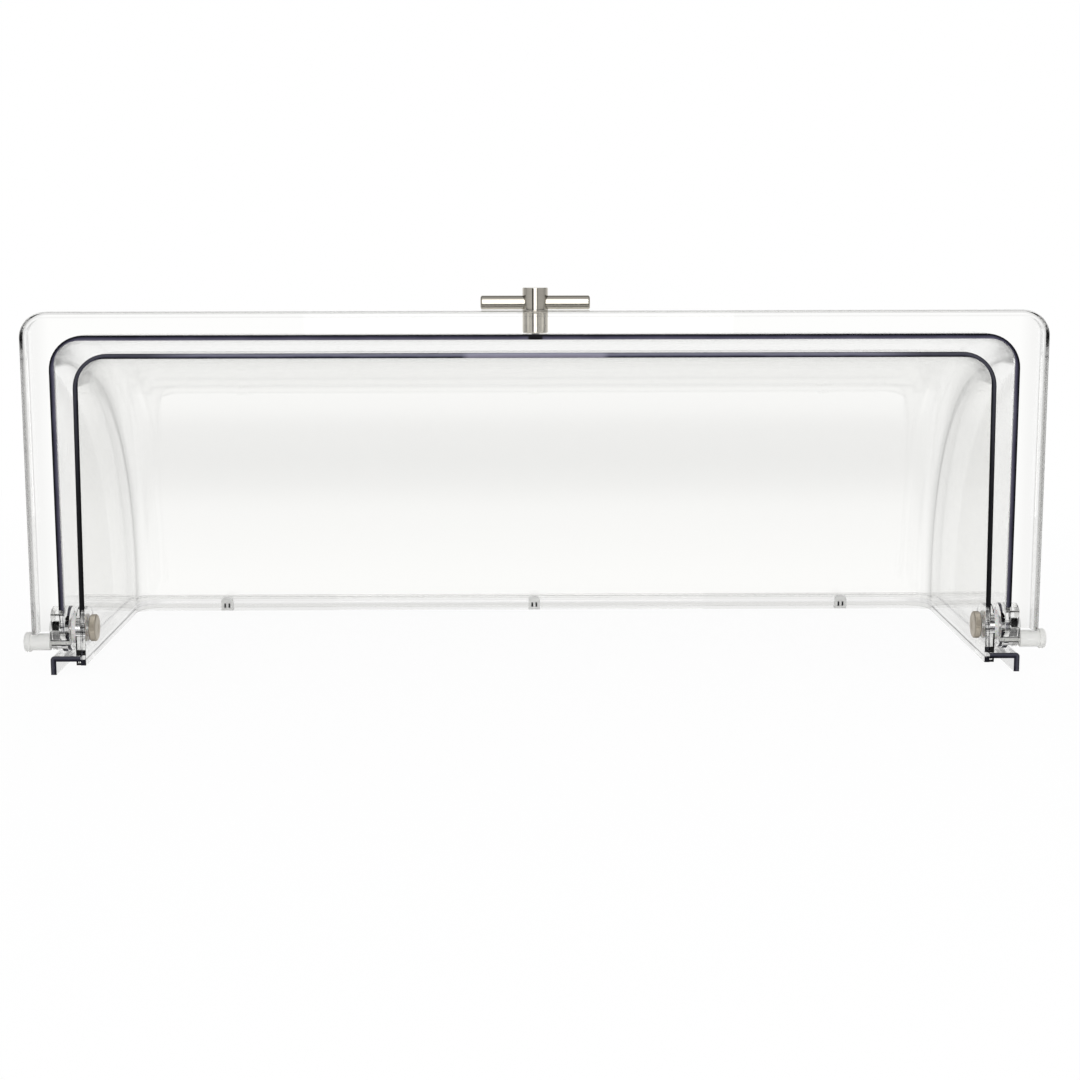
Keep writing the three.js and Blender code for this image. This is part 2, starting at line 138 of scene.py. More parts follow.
class ShellSizes(bpy.types.PropertyGroup):
    """Sheet and rim sizes that the hood and the lid share."""

    wall: length("Wall", 2.8, "Thickness of the clear sheet")
    rim_thickness: length("Rim thickness", 3.1, "Thickness of the flange and of its leg")
    rim_height: length("Rim height", 10.6, "Height of the rim from its foot to the top of the flange")
    wall_drop: length("Wall drop", 2.2, "How far the wall runs on past the flange")
    rim_edge: length("Rim edge radius", 2.2, "Radius where the flange turns into its leg")
    lip_edge: length("Lip edge radius", 0.7, "Radius at the front of the lid's lip")
    fillet: length("Fillet", 19, "Radius between the roof and the side walls")
    hood_inner_fillet: length("Hood inner fillet", 14.5, "Radius of the hood's fillet on its inner side")
    lid_inner_fillet: length("Lid inner fillet", 13.5, "Radius of the lid's fillet on its inner side")
    hood_rim_corner: length("Hood rim corner", 26, "Radius of the rim's two back corners")
    lid_rim_corner: length("Lid rim corner", 14, "Radius of the lid rim's two top corners")
    lid_rim_reach: length("Lid rim reach", 14.2, "How far the lid's flange stands out from its wall")
    draft: bpy.props.FloatProperty(
        name="Draft", description="Lean of the side walls", default=math.radians(0.5), subtype="ANGLE"
    )
    boss_radius: length("Boss radius", 12.4, "Radius of the bosses round the pivots")
    seat_gap: length("Seat gap", 0.3, "Gap that touching pieces keep")
    bore_radius: length("Bore radius", 4.1, "Radius of the bores for the pivot bolts")
    pocket_flats: length("Pocket flats", 10.6, "Size across the flats of the pocket for a bolt head")
    peg_hole: length("Peg hole radius", 2, "Radius of the hole for a peg's neck")


class HandleSizes(bpy.types.PropertyGroup):
    """Sizes of the steel cross handle."""

    screw_radius: length("Screw radius", 2, "Radius of the screw's shank")
    head_radius: length("Head radius", 3.8, "Radius of the countersunk head")
    socket_radius: length("Socket radius", 1.3, "Radius of the hexagon socket")
    socket_depth: length("Socket depth", 1.2, "Depth of the hexagon socket")
    bar_radius: length("Bar radius", 3.8, "Radius of the cross bar")
    bar_clearance: length("Bar clearance", 0.3, "Gap between the bar and its hole in the post")
    bar_rounding: length("Bar rounding", 1.1, "Radius at the ends of the bar")
    post_chamfer: length("Post chamfer", 0.5, "Chamfer at the ends of the post")


class PivotSizes(bpy.types.PropertyGroup):
    """Sizes of the bolts, nuts, washers and pegs."""

    shoulder_radius: length("Shoulder radius", 3.8, "Radius of the bolt's plain shoulder")
    thread_radius: length("Thread radius", 2.5, "Radius of the bolt's thread")
    thread_length: length("Thread length", 3, "Length of the bolt's thread")
    head_height: length("Head height", 4, "Height of the bolt's hexagon head")
    head_flats: length("Head flats", 10, "Size across the flats of the bolt's head")
    knurl_depth: length("Knurl depth", 0.25, "Depth of the grooves round a thumb nut")
    knurl_count: bpy.props.IntProperty(
        name="Knurl count", description="Grooves round a thumb nut", default=60, min=12
    )
    nut_chamfer: length("Nut chamfer", 0.7, "Chamfer at both faces of a thumb nut")
    peg_shank: length("Peg shank radius", 4.7, "Radius of a peg's shank")
    peg_neck: length("Peg neck radius", 1.7, "Radius of a peg's neck")
    peg_head: length("Peg head thickness", 3.5, "Thickness of a peg's head")
    peg_rounding: length("Peg rounding", 1.2, "Radius at the edge of a peg's head")


class ClipSizes(bpy.types.PropertyGroup):
    """Sizes of the rear clips."""

    thickness: length("Thickness", 1.3, "Thickness of a clip's plate and foot")
    corner: length("Corner radius", 2.4, "Radius of a clip's two top corners")
    slot_width: length("Slot width", 1.1, "Width of one slot")
    slot_height: length("Slot height", 2.9, "Height of one slot")
    slot_spacing: length("Slot spacing", 2.6, "Distance between the middles of the two slots")


class FinishColours(bpy.types.PropertyGroup):
    """Colours of the finishes."""

    clear: colour("Clear sheet", "#FEFEFD", "Tint of the clear sheet")
    clear_grazing: colour("Clear sheet, edge on", "#B4B3B2", "Tint of the clear sheet seen edge on")
    satin_steel: colour("Satin steel", "#CBC6BB", "Ground stainless steel of the handle")
    bright_steel: colour("Bright steel", "#CFCFD0", "Polished stainless steel of the bolts")
    dull_steel: colour("Dull steel", "#C6BEB0", "Knurled steel of the thumb nuts")
    white_nylon: colour("White nylon", "#F1F1EC", "Moulded nylon of the washers")
    frosted_nylon: colour("Frosted nylon", "#F6F6F2", "Translucent nylon of the pegs and the clips")


class StageSizes(bpy.types.PropertyGroup):
    """Sizes and levels of the stage."""

    floor_half: length("Floor half width", 6000, "Half the width of the floor")
    lamp_power: level("Lamp power", 5.0, "Power of the main lamp in watts", 100.0)
    studio_level: level("Studio level", 0.7, "Level of the soft light all round", 10.0)
    floor_lift: level("Floor lift", 0.95, "How far the floor under the object is lifted to white", 1.0)
    floor_colour: colour("Floor", "#F7F7F7", "Colour of the floor")


GROUPS = {
    "cover_shell": ShellSizes,
    "cover_handle": HandleSizes,
    "cover_pivot": PivotSizes,
    "cover_clip": ClipSizes,
    "cover_colours": FinishColours,
    "cover_stage": StageSizes,
}


def user(group):
    """The values of one property group in this scene."""
    return getattr(bpy.context.scene, group)


# Outlines and solids


def arc(u, v, radius, start, end, steps):
    """Points of an arc about (u, v), ends included."""
    angles = [start + (end - start) * i / steps for i in range(steps + 1)]
    return [(u + radius * math.cos(a), v + radius * math.sin(a)) for a in angles]


def placed(name, data):
    """A new object in the scene that shows this data."""
    made = bpy.data.objects.new(name, data)
    bpy.context.scene.collection.objects.link(made)
    return made


def new_piece(name, bm):
    """Turns a bmesh into an object in the scene, with its faces pointing out."""
    bmesh.ops.remove_doubles(bm, verts=bm.verts, dist=0.001 * MM)
    bmesh.ops.recalc_face_normals(bm, faces=bm.faces)
    mesh = bpy.data.meshes.new(name)
    bm.to_mesh(mesh)
    bm.free()
    return placed(name, mesh)


def skin(name, rings, closed=False):
    """A solid whose skin runs through rings of points. It is capped, or closes on itself."""
    bm = bmesh.new()
    rows = [[bm.verts.new(point) for point in ring] for ring in rings]
    pairs = list(zip(rows, rows[1:])) + ([(rows[-1], rows[0])] if closed else [])
    for lower, upper in pairs:
        for i, corner in enumerate(lower):
            bm.faces.new((lower[i - 1], corner, upper[i], upper[i - 1]))
    if not closed:
        bm.faces.new(rows[0])
        bm.faces.new(rows[-1])
    return new_piece(name, bm)


def slab(name, outline, ends):
    """A straight solid along X, from its outline (y, z)."""
    return skin(name, [[(x, y, z) for y, z in outline] for x in ends])


def turned(name, profile, centre, axis, steps=96, closed=False):
    """A turned solid. The profile lists (place along the axis, radius)."""
    rings = []
    for along, radius in profile:
        ring = arc(0, 0, radius, 0, 4 * QUARTER, steps)[:steps]
        if axis == "X":
            rings.append([(along, centre[1] + u, centre[2] + v) for u, v in ring])
        else:
            rings.append([(centre[0] + u, centre[1] + v, along) for u, v in ring])
    return skin(name, rings, closed)


def disc(radius, start, end, centre=PIVOT, steps=64):
    """A plain disc along X, for cuts and bosses."""
    return turned("disc", [(start, radius), (end, radius)], centre, "X", steps)


def hexagon(flats, start, end):
    """A hexagon bar on the pivot axis, with its size across the flats."""
    outline = arc(PIVOT.y, PIVOT.z, flats / 2 / FLATS_TO_CORNERS, 0, 4 * QUARTER, 6)[:6]
    return slab("hexagon", outline, (start, end))


def combine(target, tool, operation="DIFFERENCE"):
    """Joins, cuts or keeps what two solids share, and deletes the tool."""
    modifier = target.modifiers.new(operation.lower(), "BOOLEAN")
    modifier.operation = operation
    modifier.solver = "EXACT"
    modifier.object = tool
    settle(target)
    bpy.data.objects.remove(tool)
    return target


def settle(piece):
    """Applies all modifiers of a piece to its mesh."""
    graph = bpy.context.evaluated_depsgraph_get()
    mesh = bpy.data.meshes.new_from_object(piece.evaluated_get(graph))
    old = piece.data
    piece.modifiers.clear()
    piece.data = mesh
    bpy.data.meshes.remove(old)
    return piece


def mirrored(piece, name):
    """A copy on the other side of the cover."""
    copy = placed(name, piece.data.copy())
    copy.data.transform(Matrix.Scale(-1, 4, (1, 0, 0)))
    copy.data.flip_normals()
    return copy


def both_sides(target, tool, operation):
    """Combines target with a solid and with its mirror image."""
    twin = mirrored(tool, "twin")
    combine(target, tool, operation)
    combine(target, twin, operation)


def round_edges(piece, width, angle=math.radians(40)):
    """Rounds the edges of a piece that are sharper than an angle."""
    bevel = piece.modifiers.new("edges", "BEVEL")
    bevel.width = width
    bevel.segments = 2
    bevel.limit_method = "ANGLE"
    bevel.angle_limit = angle
    bevel.use_clamp_overlap = True
    settle(piece)


def dress(piece, body, slot, nodes, materials, is_cut=None):
    """Finishes a piece: its materials, smooth shading and the body it rides on, and hides the model parts
    that it stands for. Faces that is_cut picks get the second material."""
    piece.data.materials.clear()
    for material in materials:
        piece.data.materials.append(material)
    for face in piece.data.polygons:
        face.material_index = 1 if is_cut and is_cut(face) else 0
    piece.data.shade_smooth()
    piece.data.set_sharp_from_angle(angle=math.radians(32))
    weighted = piece.modifiers.new("even normals", "WEIGHTED_NORMAL")
    weighted.keep_sharp = True
    settle(piece)
    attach(piece, body)
    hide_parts(*nodes)


# Materials


def add_node(tree, kind, inputs=(), **settings):
    """Adds a shader node with its settings to a tree. Its inputs are listed in order, or by name or
    number, and each is a value, a socket, or a node whose first output in use it is linked to."""
    added = tree.nodes.new("ShaderNode" + kind)
    for name, value in settings.items():
        setattr(added, name, value)
    for name, value in inputs.items() if isinstance(inputs, dict) else enumerate(inputs):
        if isinstance(value, bpy.types.Node):
            value = next(output for output in value.outputs if output.enabled)
        if isinstance(value, bpy.types.NodeSocket):
            tree.links.new(value, added.inputs[name])
        else:
            added.inputs[name].default_value = value
    return added


# A MapRange takes its value, the range that this comes from and the range that it goes to, in this order


def new_material(name):
    """An empty material, a function that adds nodes to it, and the places on the piece that wears it."""
    material = bpy.data.materials.new(name)
    material.use_nodes = True
    material.node_tree.nodes.clear()
    add = partial(add_node, material.node_tree)
    return material, add, add("TexCoord").outputs["Object"]


def alpha(rgb):
    """A property's colour with alpha 1."""
    return (*rgb, 1.0)


def cloudy(place, spacing, detail):
    """The inputs of a cloudy pattern whose real spacing is given in millimetres."""
    return {"Vector": place, "Scale": 1 / (spacing * MM), "Detail": detail}


def ramp(add, value, stops, low=0.0, high=1.0):
    """Colours over a value that runs from low to high. stops lists (value, sRGB hex)."""
    added = add("ValToRGB", (add("MapRange", (value, low, high)),))
    first, *between, last = [((place - low) / (high - low), linear(code)) for place, code in stops]
    elements = added.color_ramp.elements
    elements[0].position, elements[0].color = first
    elements[1].position, elements[1].color = last
    for place, shade in between:
        elements.new(place).color = shade
    return added


def side_back_up(add, place):
    """How far a place is from the middle of the cover, how far back and how far up."""
    xyz = add("SeparateXYZ", (place,))
    side = add("Math", (xyz.outputs["X"],), operation="ABSOLUTE")
    return side, xyz.outputs["Y"], xyz.outputs["Z"]


def let_lamps_through(add, shader, tint):
    """Clear plastic throws a faint shadow, so rays from lamps pass it with a tint."""
    path = add("LightPath")
    passing = add("BsdfTransparent", (linear(tint),))
    both = add("MixShader", (path.outputs["Is Shadow Ray"], shader, passing))
    add("OutputMaterial", (both,))


POLYCARBONATE_IOR = 1.585
POLYCARBONATE_SHADOW = "#F3F3F5"


def clear_shader(add, place):
    """The shader of a clear sheet, for its faces and for the parts of its edges that stay clear. Side
    walls grey where they are seen edge on. What lies as low as the hood's rim is a little grey
    throughout, and the lid's flange has painted shade: grey bands beside its lip and along its top, and
    a dark outline down its sides, for the dark lines that its rounded edges show. The front mirrors less
    than the rest, so that the post shows well through it."""
    colours, sizes = user("cover_colours"), user("cover_shell")
    waves = add("TexNoise", cloudy(place, 90, 1.0))
    bump = add("Bump", {"Height": waves, "Strength": 0.12, "Distance": 0.4 * MM})
    facing = add("LayerWeight", {"Blend": 0.35, "Normal": bump}).outputs["Facing"]
    steep = add("Math", (facing, 3.0), operation="POWER")
    upright = side_back_up(add, add("TexCoord").outputs["Normal"])[0]
    frontal = add("Math", (1.0, upright), operation="SUBTRACT")
    of_wall = add("Math", (upright, 3.0), operation="POWER")
    grey = add("Math", (steep, of_wall), operation="MULTIPLY")
    side, back, up = side_back_up(add, place)
    end, top, thick = LID_HIGH.x, LID_HIGH.z, sizes.rim_thickness
    wall_end, lip = end - sizes.lid_rim_reach, end - thick
    within = ramp(add, side, ((wall_end, "#FFFFFF"), (lip, "#404040")), 0.0, end)
    grey = add("Math", (grey, within), operation="MULTIPLY")

    # Painted shade lines from the wall to the lip and along the top edge, and a little grey in the hood's
    # rim
    lip_painted_shade = ramp(add, side, (
        (wall_end, "#000000"), (wall_end + 7 * MM, "#606060"), (lip - 1.1 * MM, "#606060"),
        (lip - 0.9 * MM, "#979797"), (lip - 0.25 * MM, "#979797"), (lip - 0.15 * MM, "#404040"),
        (lip + 0.2 * MM, "#404040"), (lip + 0.4 * MM, "#C8C8C8"),
    ), 0.0, end)
    lip_painted_shade = add("Math", (lip_painted_shade, frontal), operation="MULTIPLY")
    top_painted_shade = ramp(add, up, (
        (top - thick - 0.5 * MM, "#000000"), (top - thick - 0.3 * MM, "#7A7A7A"),
        (top - thick + 0.1 * MM, "#7A7A7A"), (top - thick + 0.3 * MM, "#000000"),
        (top - 0.8 * MM, "#000000"), (top - 0.6 * MM, "#FFFFFF"), (top, "#FFFFFF"),
    ), 0.0, top)
    rim_top = sizes.rim_height + 0.5 * MM
    in_rim = add("MapRange", (up, rim_top - 0.4 * MM, rim_top, 0.22, 0.0))
    for band in (lip_painted_shade, top_painted_shade, in_rim):
        grey = add("Math", (grey, band), operation="MAXIMUM")
    clear, grazing = alpha(colours.clear), alpha(colours.clear_grazing)
    tint = add("Mix", {0: grey, 6: clear, 7: grazing}, data_type="RGBA")
    # Painted shade: a dark outline down the outer end of the lid's flange
    outline = ramp(add, side, (
        (lip + 0.3 * MM, "#000000"), (lip + 0.6 * MM, "#A8A8A8"), (end - 0.9 * MM, "#A8A8A8"),
        (end - 0.5 * MM, "#FFFFFF"),
    ), 0.0, end)
    outline = add("Math", (outline, frontal), operation="MULTIPLY")
    tint = add("Mix", {0: outline, 6: tint, 7: linear("#6E6E6F")}, data_type="RGBA")
    haze = add("MapRange", (add("TexNoise", cloudy(place, 25, 3.0)), 0.4, 0.75, 0.0, 0.01))
    flange = FRONT + sizes.wall_drop + thick
    mirror = add("MapRange", (back, flange, flange + MM, 0.3))
    return add("BsdfPrincipled", {
        "Base Color": tint, "Roughness": haze, "IOR": POLYCARBONATE_IOR, "Specular Tint": mirror,
        "Transmission Weight": 1.0, "Normal": bump,
    })


def clear_polycarbonate():
    """Polycarbonate, press formed and polished: almost nothing is seen face on, the sheet greys where it
    is seen edge on, and slow waves from the forming move its reflections. The lid's flange has painted
    shade lines."""
    material, add, place = new_material("polycarbonate_press_formed")
    let_lamps_through(add, clear_shader(add, place), POLYCARBONATE_SHADOW)
    return material


def depth_in_sheet(add, side, up, half, top, radius, lean):
    """How deep a point of a cut face lies under the sheet's outer skin, for a sheet whose section is a
    square arch with round corners."""
    straight = add("Math", (up, lean, side), operation="MULTIPLY_ADD")
    past = []
    for value, limit in ((straight, half), (up, top)):
        over = add("Math", (value, limit - radius), operation="SUBTRACT")
        past.append(add("Math", (over, 0.0), operation="MAXIMUM"))
    away = add("VectorMath", (add("CombineXYZ", past),), operation="LENGTH")
    return add("Math", (radius, away), operation="SUBTRACT")


def sawn_edge_painted_shade(name, arches, stops, levels, runs, clear_zone, middle):
    """Polycarbonate edge, sawn and scraped, with fine scraper marks along it. Its colour is painted
    shade:
    light is trapped in the sheet, so the edge is painted dark navy. arches are the sections of the sheet
    that it cuts, stops its painted colours from the outer skin to the inner one, and levels its painted
    brightness by height, which runs limits by the distance from the middle. Beside a boss, light gets in
    and the edge is clear: clear_zone gives the lowest and the outermost place of that, and streaks of
    trapped light run through it. middle gives the half width, the softness and the painted colours of
    what is seen in the middle of the roof."""
    sizes = user("cover_shell")
    material, add, place = new_material(name)
    side, _, up = side_back_up(add, place)
    depth = depth_in_sheet(add, side, up, *arches[0])
    for arch in arches[1:]:
        other = depth_in_sheet(add, side, up, *arch)
        depth = add("Math", (depth, other), operation="MAXIMUM")
    share = add("MapRange", (depth, 0.0, sizes.wall))
    marks = add("Math", (add("TexNoise", cloudy(place, 14, 3.0)), 0.5), operation="SUBTRACT")
    shifted = add("Math", (marks, 0.3, share), operation="MULTIPLY_ADD")
    # Painted shade: the edge is brighter or darker by height and by the distance from the middle
    fade = (ramp(add, up, levels, 0.0, LID_ROOF), ramp(add, side, runs, 0.0, HOOD_HALF))
    fade = add("VectorMath", fade, operation="MINIMUM")
    faded = add("VectorMath", (ramp(add, shifted, stops), fade), operation="MULTIPLY")
    # Painted light in the middle of the hood's edge; in the lid's edge the screw head is painted near
    # black
    width, softness, painted_middle_tone = middle
    in_middle = add("MapRange", (side, width - softness, width + softness, 1.0, 0.0))
    painted_middle_tone = ramp(add, shifted, painted_middle_tone)
    dark = add("Mix", {0: in_middle, 6: faded, 7: painted_middle_tone}, data_type="RGBA")
    edge = add("BsdfPrincipled", {
        "Base Color": dark, "Roughness": 0.45, "IOR": POLYCARBONATE_IOR, "Specular IOR Level": 0.08,
    })

    # Clear beside the boss, with streaks drawn out upwards
    low, outermost = clear_zone
    top, soft = PIVOT.z + sizes.boss_radius, 0.3 * MM
    beside = add("MapRange", (up, low - soft, low + soft))
    under_top = add("MapRange", (up, top - soft, top + soft, 1.0, 0.0))
    in_wall = add("Math", (side, outermost), operation="LESS_THAN")
    drawn = add("Mapping", {"Vector": place, "Scale": (1.0, 1.0, 0.12)})
    streaks = add("MapRange", (add("TexNoise", cloudy(drawn, 1.2, 1.0)), 0.42, 0.56, 0.35, 1.0))
    for part in (under_top, in_wall, streaks):
        beside = add("Math", (beside, part), operation="MULTIPLY")
    both = add("MixShader", (beside, edge, clear_shader(add, place)))
    let_lamps_through(add, both, POLYCARBONATE_SHADOW)
    return material


def ground_steel(name, shade, roughness, stretch):
    """Stainless steel, ground: fine lines that run where stretch draws the pattern out. The real lines
    are finer than a pixel, so they are drawn a millimetre apart and very faint."""
    material, add, place = new_material(name)
    drawn = add("Mapping", {"Vector": place, "Scale": stretch})
    lines = add("TexNoise", cloudy(drawn, 1, 3.0))
    rough = add("MapRange", (lines, 0.3, 0.7, roughness * 0.85, roughness * 1.15))
    tone = add("MapRange", (lines, 0.3, 0.7, 0.96, 1.03))
    worn = add("VectorMath", {0: tuple(shade), "Scale": tone}, operation="SCALE")
    steel = {"Base Color": worn, "Metallic": 1.0, "Roughness": rough}
    add("OutputMaterial", (add("BsdfPrincipled", steel),))
    return material


def satin_post_steel():
    """Stainless steel, ground round the post: upright bands of light with faint lines round it."""
    shade = user("cover_colours").satin_steel
    return ground_steel("stainless_steel_ground_round", shade, 0.055, (0.1, 0.1, 1.0))


def satin_bar_steel():
    """Stainless steel, drawn and ground along the bar: long crisp reflections with faint lines."""
    shade = user("cover_colours").satin_steel
    return ground_steel("stainless_steel_drawn_bar", shade, 0.05, (0.04, 1.0, 1.0))


def bright_steel():
    """Stainless steel, turned and polished: sharp bright and dark stripes."""
    shade = user("cover_colours").bright_steel
    return ground_steel("stainless_steel_turned_bright", shade, 0.07, (1.0, 0.1, 0.1))


def knurled_steel():
    """Stainless steel, knurled and tumbled: a dull, slightly warm grey."""
    shade = user("cover_colours").dull_steel
    return ground_steel("stainless_steel_tumbled", shade, 0.5, (1.0, 1.0, 1.0))


def moulded_nylon():
    """Nylon, injection moulded in natural white: soft gloss with a faint orange peel."""
    material, add, place = new_material("nylon_moulded_white")
    peel = add("TexNoise", cloudy(place, 1.6, 2.0))
    tone = add("MapRange", (peel, 0.3, 0.7, 0.96, 1.0))
    shade = {0: tuple(user("cover_colours").white_nylon), "Scale": tone}
    shader = add("BsdfPrincipled", {
        "Base Color": add("VectorMath", shade, operation="SCALE"), "Roughness": 0.38,
        "IOR": 1.53, "Subsurface Weight": 0.15, "Subsurface Scale": 1.5 * MM,
        "Normal": add("Bump", {"Height": peel, "Strength": 0.3, "Distance": 0.03 * MM}),
    })
    add("OutputMaterial", (shader,))
    return material


def frosted_nylon():
    """Nylon, moulded thin and left natural: milky white, and light shines a little way through it."""
    material, add, place = new_material("nylon_moulded_natural")
    haze = add("MapRange", (add("TexNoise", cloudy(place, 3, 3.0)), 0.3, 0.7, 0.35, 0.5))
    shader = add("BsdfPrincipled", {
        "Base Color": alpha(user("cover_colours").frosted_nylon), "Roughness": haze, "IOR": 1.35,
        "Transmission Weight": 0.3,
    })
    let_lamps_through(add, shader, "#DADAD8")
    return material


def nylon_painted_shade():
    """Nylon deep in a moulded slot, painted near black for its shade: hardly any light comes back out."""
    material, add, place = new_material("nylon_moulded_slot_painted_shade")
    shade = ramp(add, add("TexNoise", cloudy(place, 1, 2.0)), ((0.3, "#1E1E1F"), (0.7, "#3A3A3B")))
    shader = add("BsdfPrincipled", {"Base Color": shade, "Roughness": 0.7, "IOR": 1.5})
    add("OutputMaterial", (shader,))
    return material


# Hood and lid


def edge_stations(radius, steps):
    """How a rounded edge draws in: (distance from its end, inset), from the end inwards."""
    angles = [QUARTER * i / steps for i in range(steps + 1)]
    return [(radius * (1 - math.sin(a)), radius * (1 - math.cos(a))) for a in reversed(angles)]


def shell_block(name, outline_at, half, fillet, lean_of):
    """A quarter round block with filleted sides that lean in. outline_at(inset) lists (y, z)."""
    rises = edge_stations(fillet, FILLET_STEPS)
    stations = [(-half + along, inset) for along, inset in rises]
    stations += [(half - along, inset) for along, inset in reversed(rises)]
    slope = math.tan(user("cover_shell").draft) / half
    return skin(name, [
        [(x * (1 - slope * lean_of(y, z)), y, z) for y, z in outline_at(inset)] for x, inset in stations
    ])


def quarter_round(front, bottom, radius):
    """The outline (y, z) of a quarter round block behind a flat front, for each inset."""
    return lambda inset: [
        (front, bottom),
        (PIVOT.y + radius - inset, bottom),
        *arc(PIVOT.y, PIVOT.z, radius - inset, 0, QUARTER, ROOF_STEPS),
        (front, PIVOT.z + radius - inset),
    ]


def arch_rings(half, near, far, corner, stations, place):
    """Rings of an arch that is open at its near end, drawn in by each station's inset."""
    rings = []
    for along, inset in stations:
        radius = max(corner - inset, 0)
        right, end = half - inset - radius, far - inset - radius
        points = [(-half + inset, near), (half - inset, near)]
        points += arc(right, end, radius, 0, QUARTER, CORNER_STEPS)
        points += arc(-right, end, radius, QUARTER, 2 * QUARTER, CORNER_STEPS)
        rings.append([place(u, v, along) for u, v in points])
    return rings


def rim_block(half, near, far, corner, lip, lip_edge, back, place):
    """A flange with a turned leg, as an arch less the channel in it. It runs from the leg's lip to the
    flange's back face."""
    sizes = user("cover_shell")
    thick = sizes.rim_thickness
    lip_stations = edge_stations(lip_edge, EDGE_STEPS) if lip_edge else [(0, 0)]
    stations = [(lip + along, inset) for along, inset in lip_stations]
    back_stations = edge_stations(sizes.rim_edge, EDGE_STEPS)
    stations += [(back - along, inset) for along, inset in reversed(back_stations)]
    rim = skin("rim", arch_rings(half, near, far, corner, stations, place))
    cut = [(lip - PAST, 0), (back - thick, 0)]
    channel = arch_rings(half - thick, near - PAST, far - thick, corner - thick, cut, place)
    return combine(rim, skin("channel", channel))


def on_front(face):
    """Whether a face lies in the sawn front of a shell."""
    return face.normal.y < -STRAIGHT and abs(face.center.y - FRONT) < NEAR


def build_hood():
    """The fixed hood: roof, side walls, rim and the two bosses, in one sheet."""
    sizes = user("cover_shell")
    wall, lean, radius = sizes.wall, math.tan(sizes.draft), sizes.boss_radius
    wall_bottom = sizes.rim_height - sizes.rim_thickness - sizes.wall_drop

    def leaning_up(y, z):
        return z

    outside = quarter_round(FRONT, wall_bottom, HOOD_RADIUS)
    hood = shell_block("hood_shell", outside, HOOD_HALF, sizes.fillet, leaning_up)
    inside = quarter_round(FRONT - PAST, -PAST, HOOD_RADIUS - wall)
    hollow = shell_block("hollow", inside, HOOD_HALF - wall, sizes.hood_inner_fillet, leaning_up)
    rim = rim_block(
        HOOD_HIGH.x, FRONT, HOOD_HIGH.y, sizes.hood_rim_corner, 0, 0, sizes.rim_height,
        lambda u, v, along: (u, v, along),
    )
    combine(hood, rim, "UNION")
    combine(hood, hollow)
    boss = arc(PIVOT.y, PIVOT.z, radius, 0, 2 * QUARTER, 48)
    boss += [(PIVOT.y - radius, wall_bottom), (PIVOT.y + radius, wall_bottom)]
    boss_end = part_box("right_spacer_washer")[0].x - sizes.seat_gap
    boss = slab("boss", boss, (HOOD_HALF - PIVOT.z * lean - wall / 2, boss_end))
    both_sides(hood, boss, "UNION")
    combine(hood, disc(sizes.bore_radius, -HOOD_HIGH.x, HOOD_HIGH.x))
    round_edges(hood, 0.25 * MM)
    # The sawn front gets painted shade: dark navy, darkest near the pivots' height, darker towards the
    # sides and painted lighter in the middle of the roof
    edge = sawn_edge_painted_shade(
        "polycarbonate_sawn_hood_painted_shade",
        arches=(
            (HOOD_HALF, HOOD_HIGH.z, sizes.fillet, lean),
            (HOOD_HIGH.x, sizes.rim_height, sizes.rim_edge, 0.0),
        ),
        stops=(
            (0.0, "#4A4B54"), (0.22, "#7E7E8B"), (0.45, "#7F7F90"), (0.68, "#525266"),
            (0.82, "#20202E"), (1.0, "#1C1C2A"),
        ),
        levels=(
            (0.0, "#929292"), (sizes.rim_height, "#929292"), (PIVOT.z, "#262626"), (0.1, "#343434"),
            (0.14, "#6A6A6A"), (0.151, "#767676"), (0.165, "#828282"), (0.1735, "#8E8E8E"),
            (HOOD_HIGH.z, "#FFFFFF"),
        ),
        runs=((0.0, "#FFFFFF"), (0.175, "#FFFFFF"), (0.21, "#969696"), (HOOD_HALF, "#8E8E8E")),
        clear_zone=(wall_bottom + 1.2 * wall, HOOD_HALF + 10 * NEAR),
        middle=(38 * MM, 2 * MM, (
            (0.0, "#757681"), (0.3, "#9393A3"), (0.6, "#858291"), (1.0, "#65636F"),
        )),
    )
    dress(hood, "hood", "clear_shell", ["rear_shell"], [clear_polycarbonate(), edge], on_front)


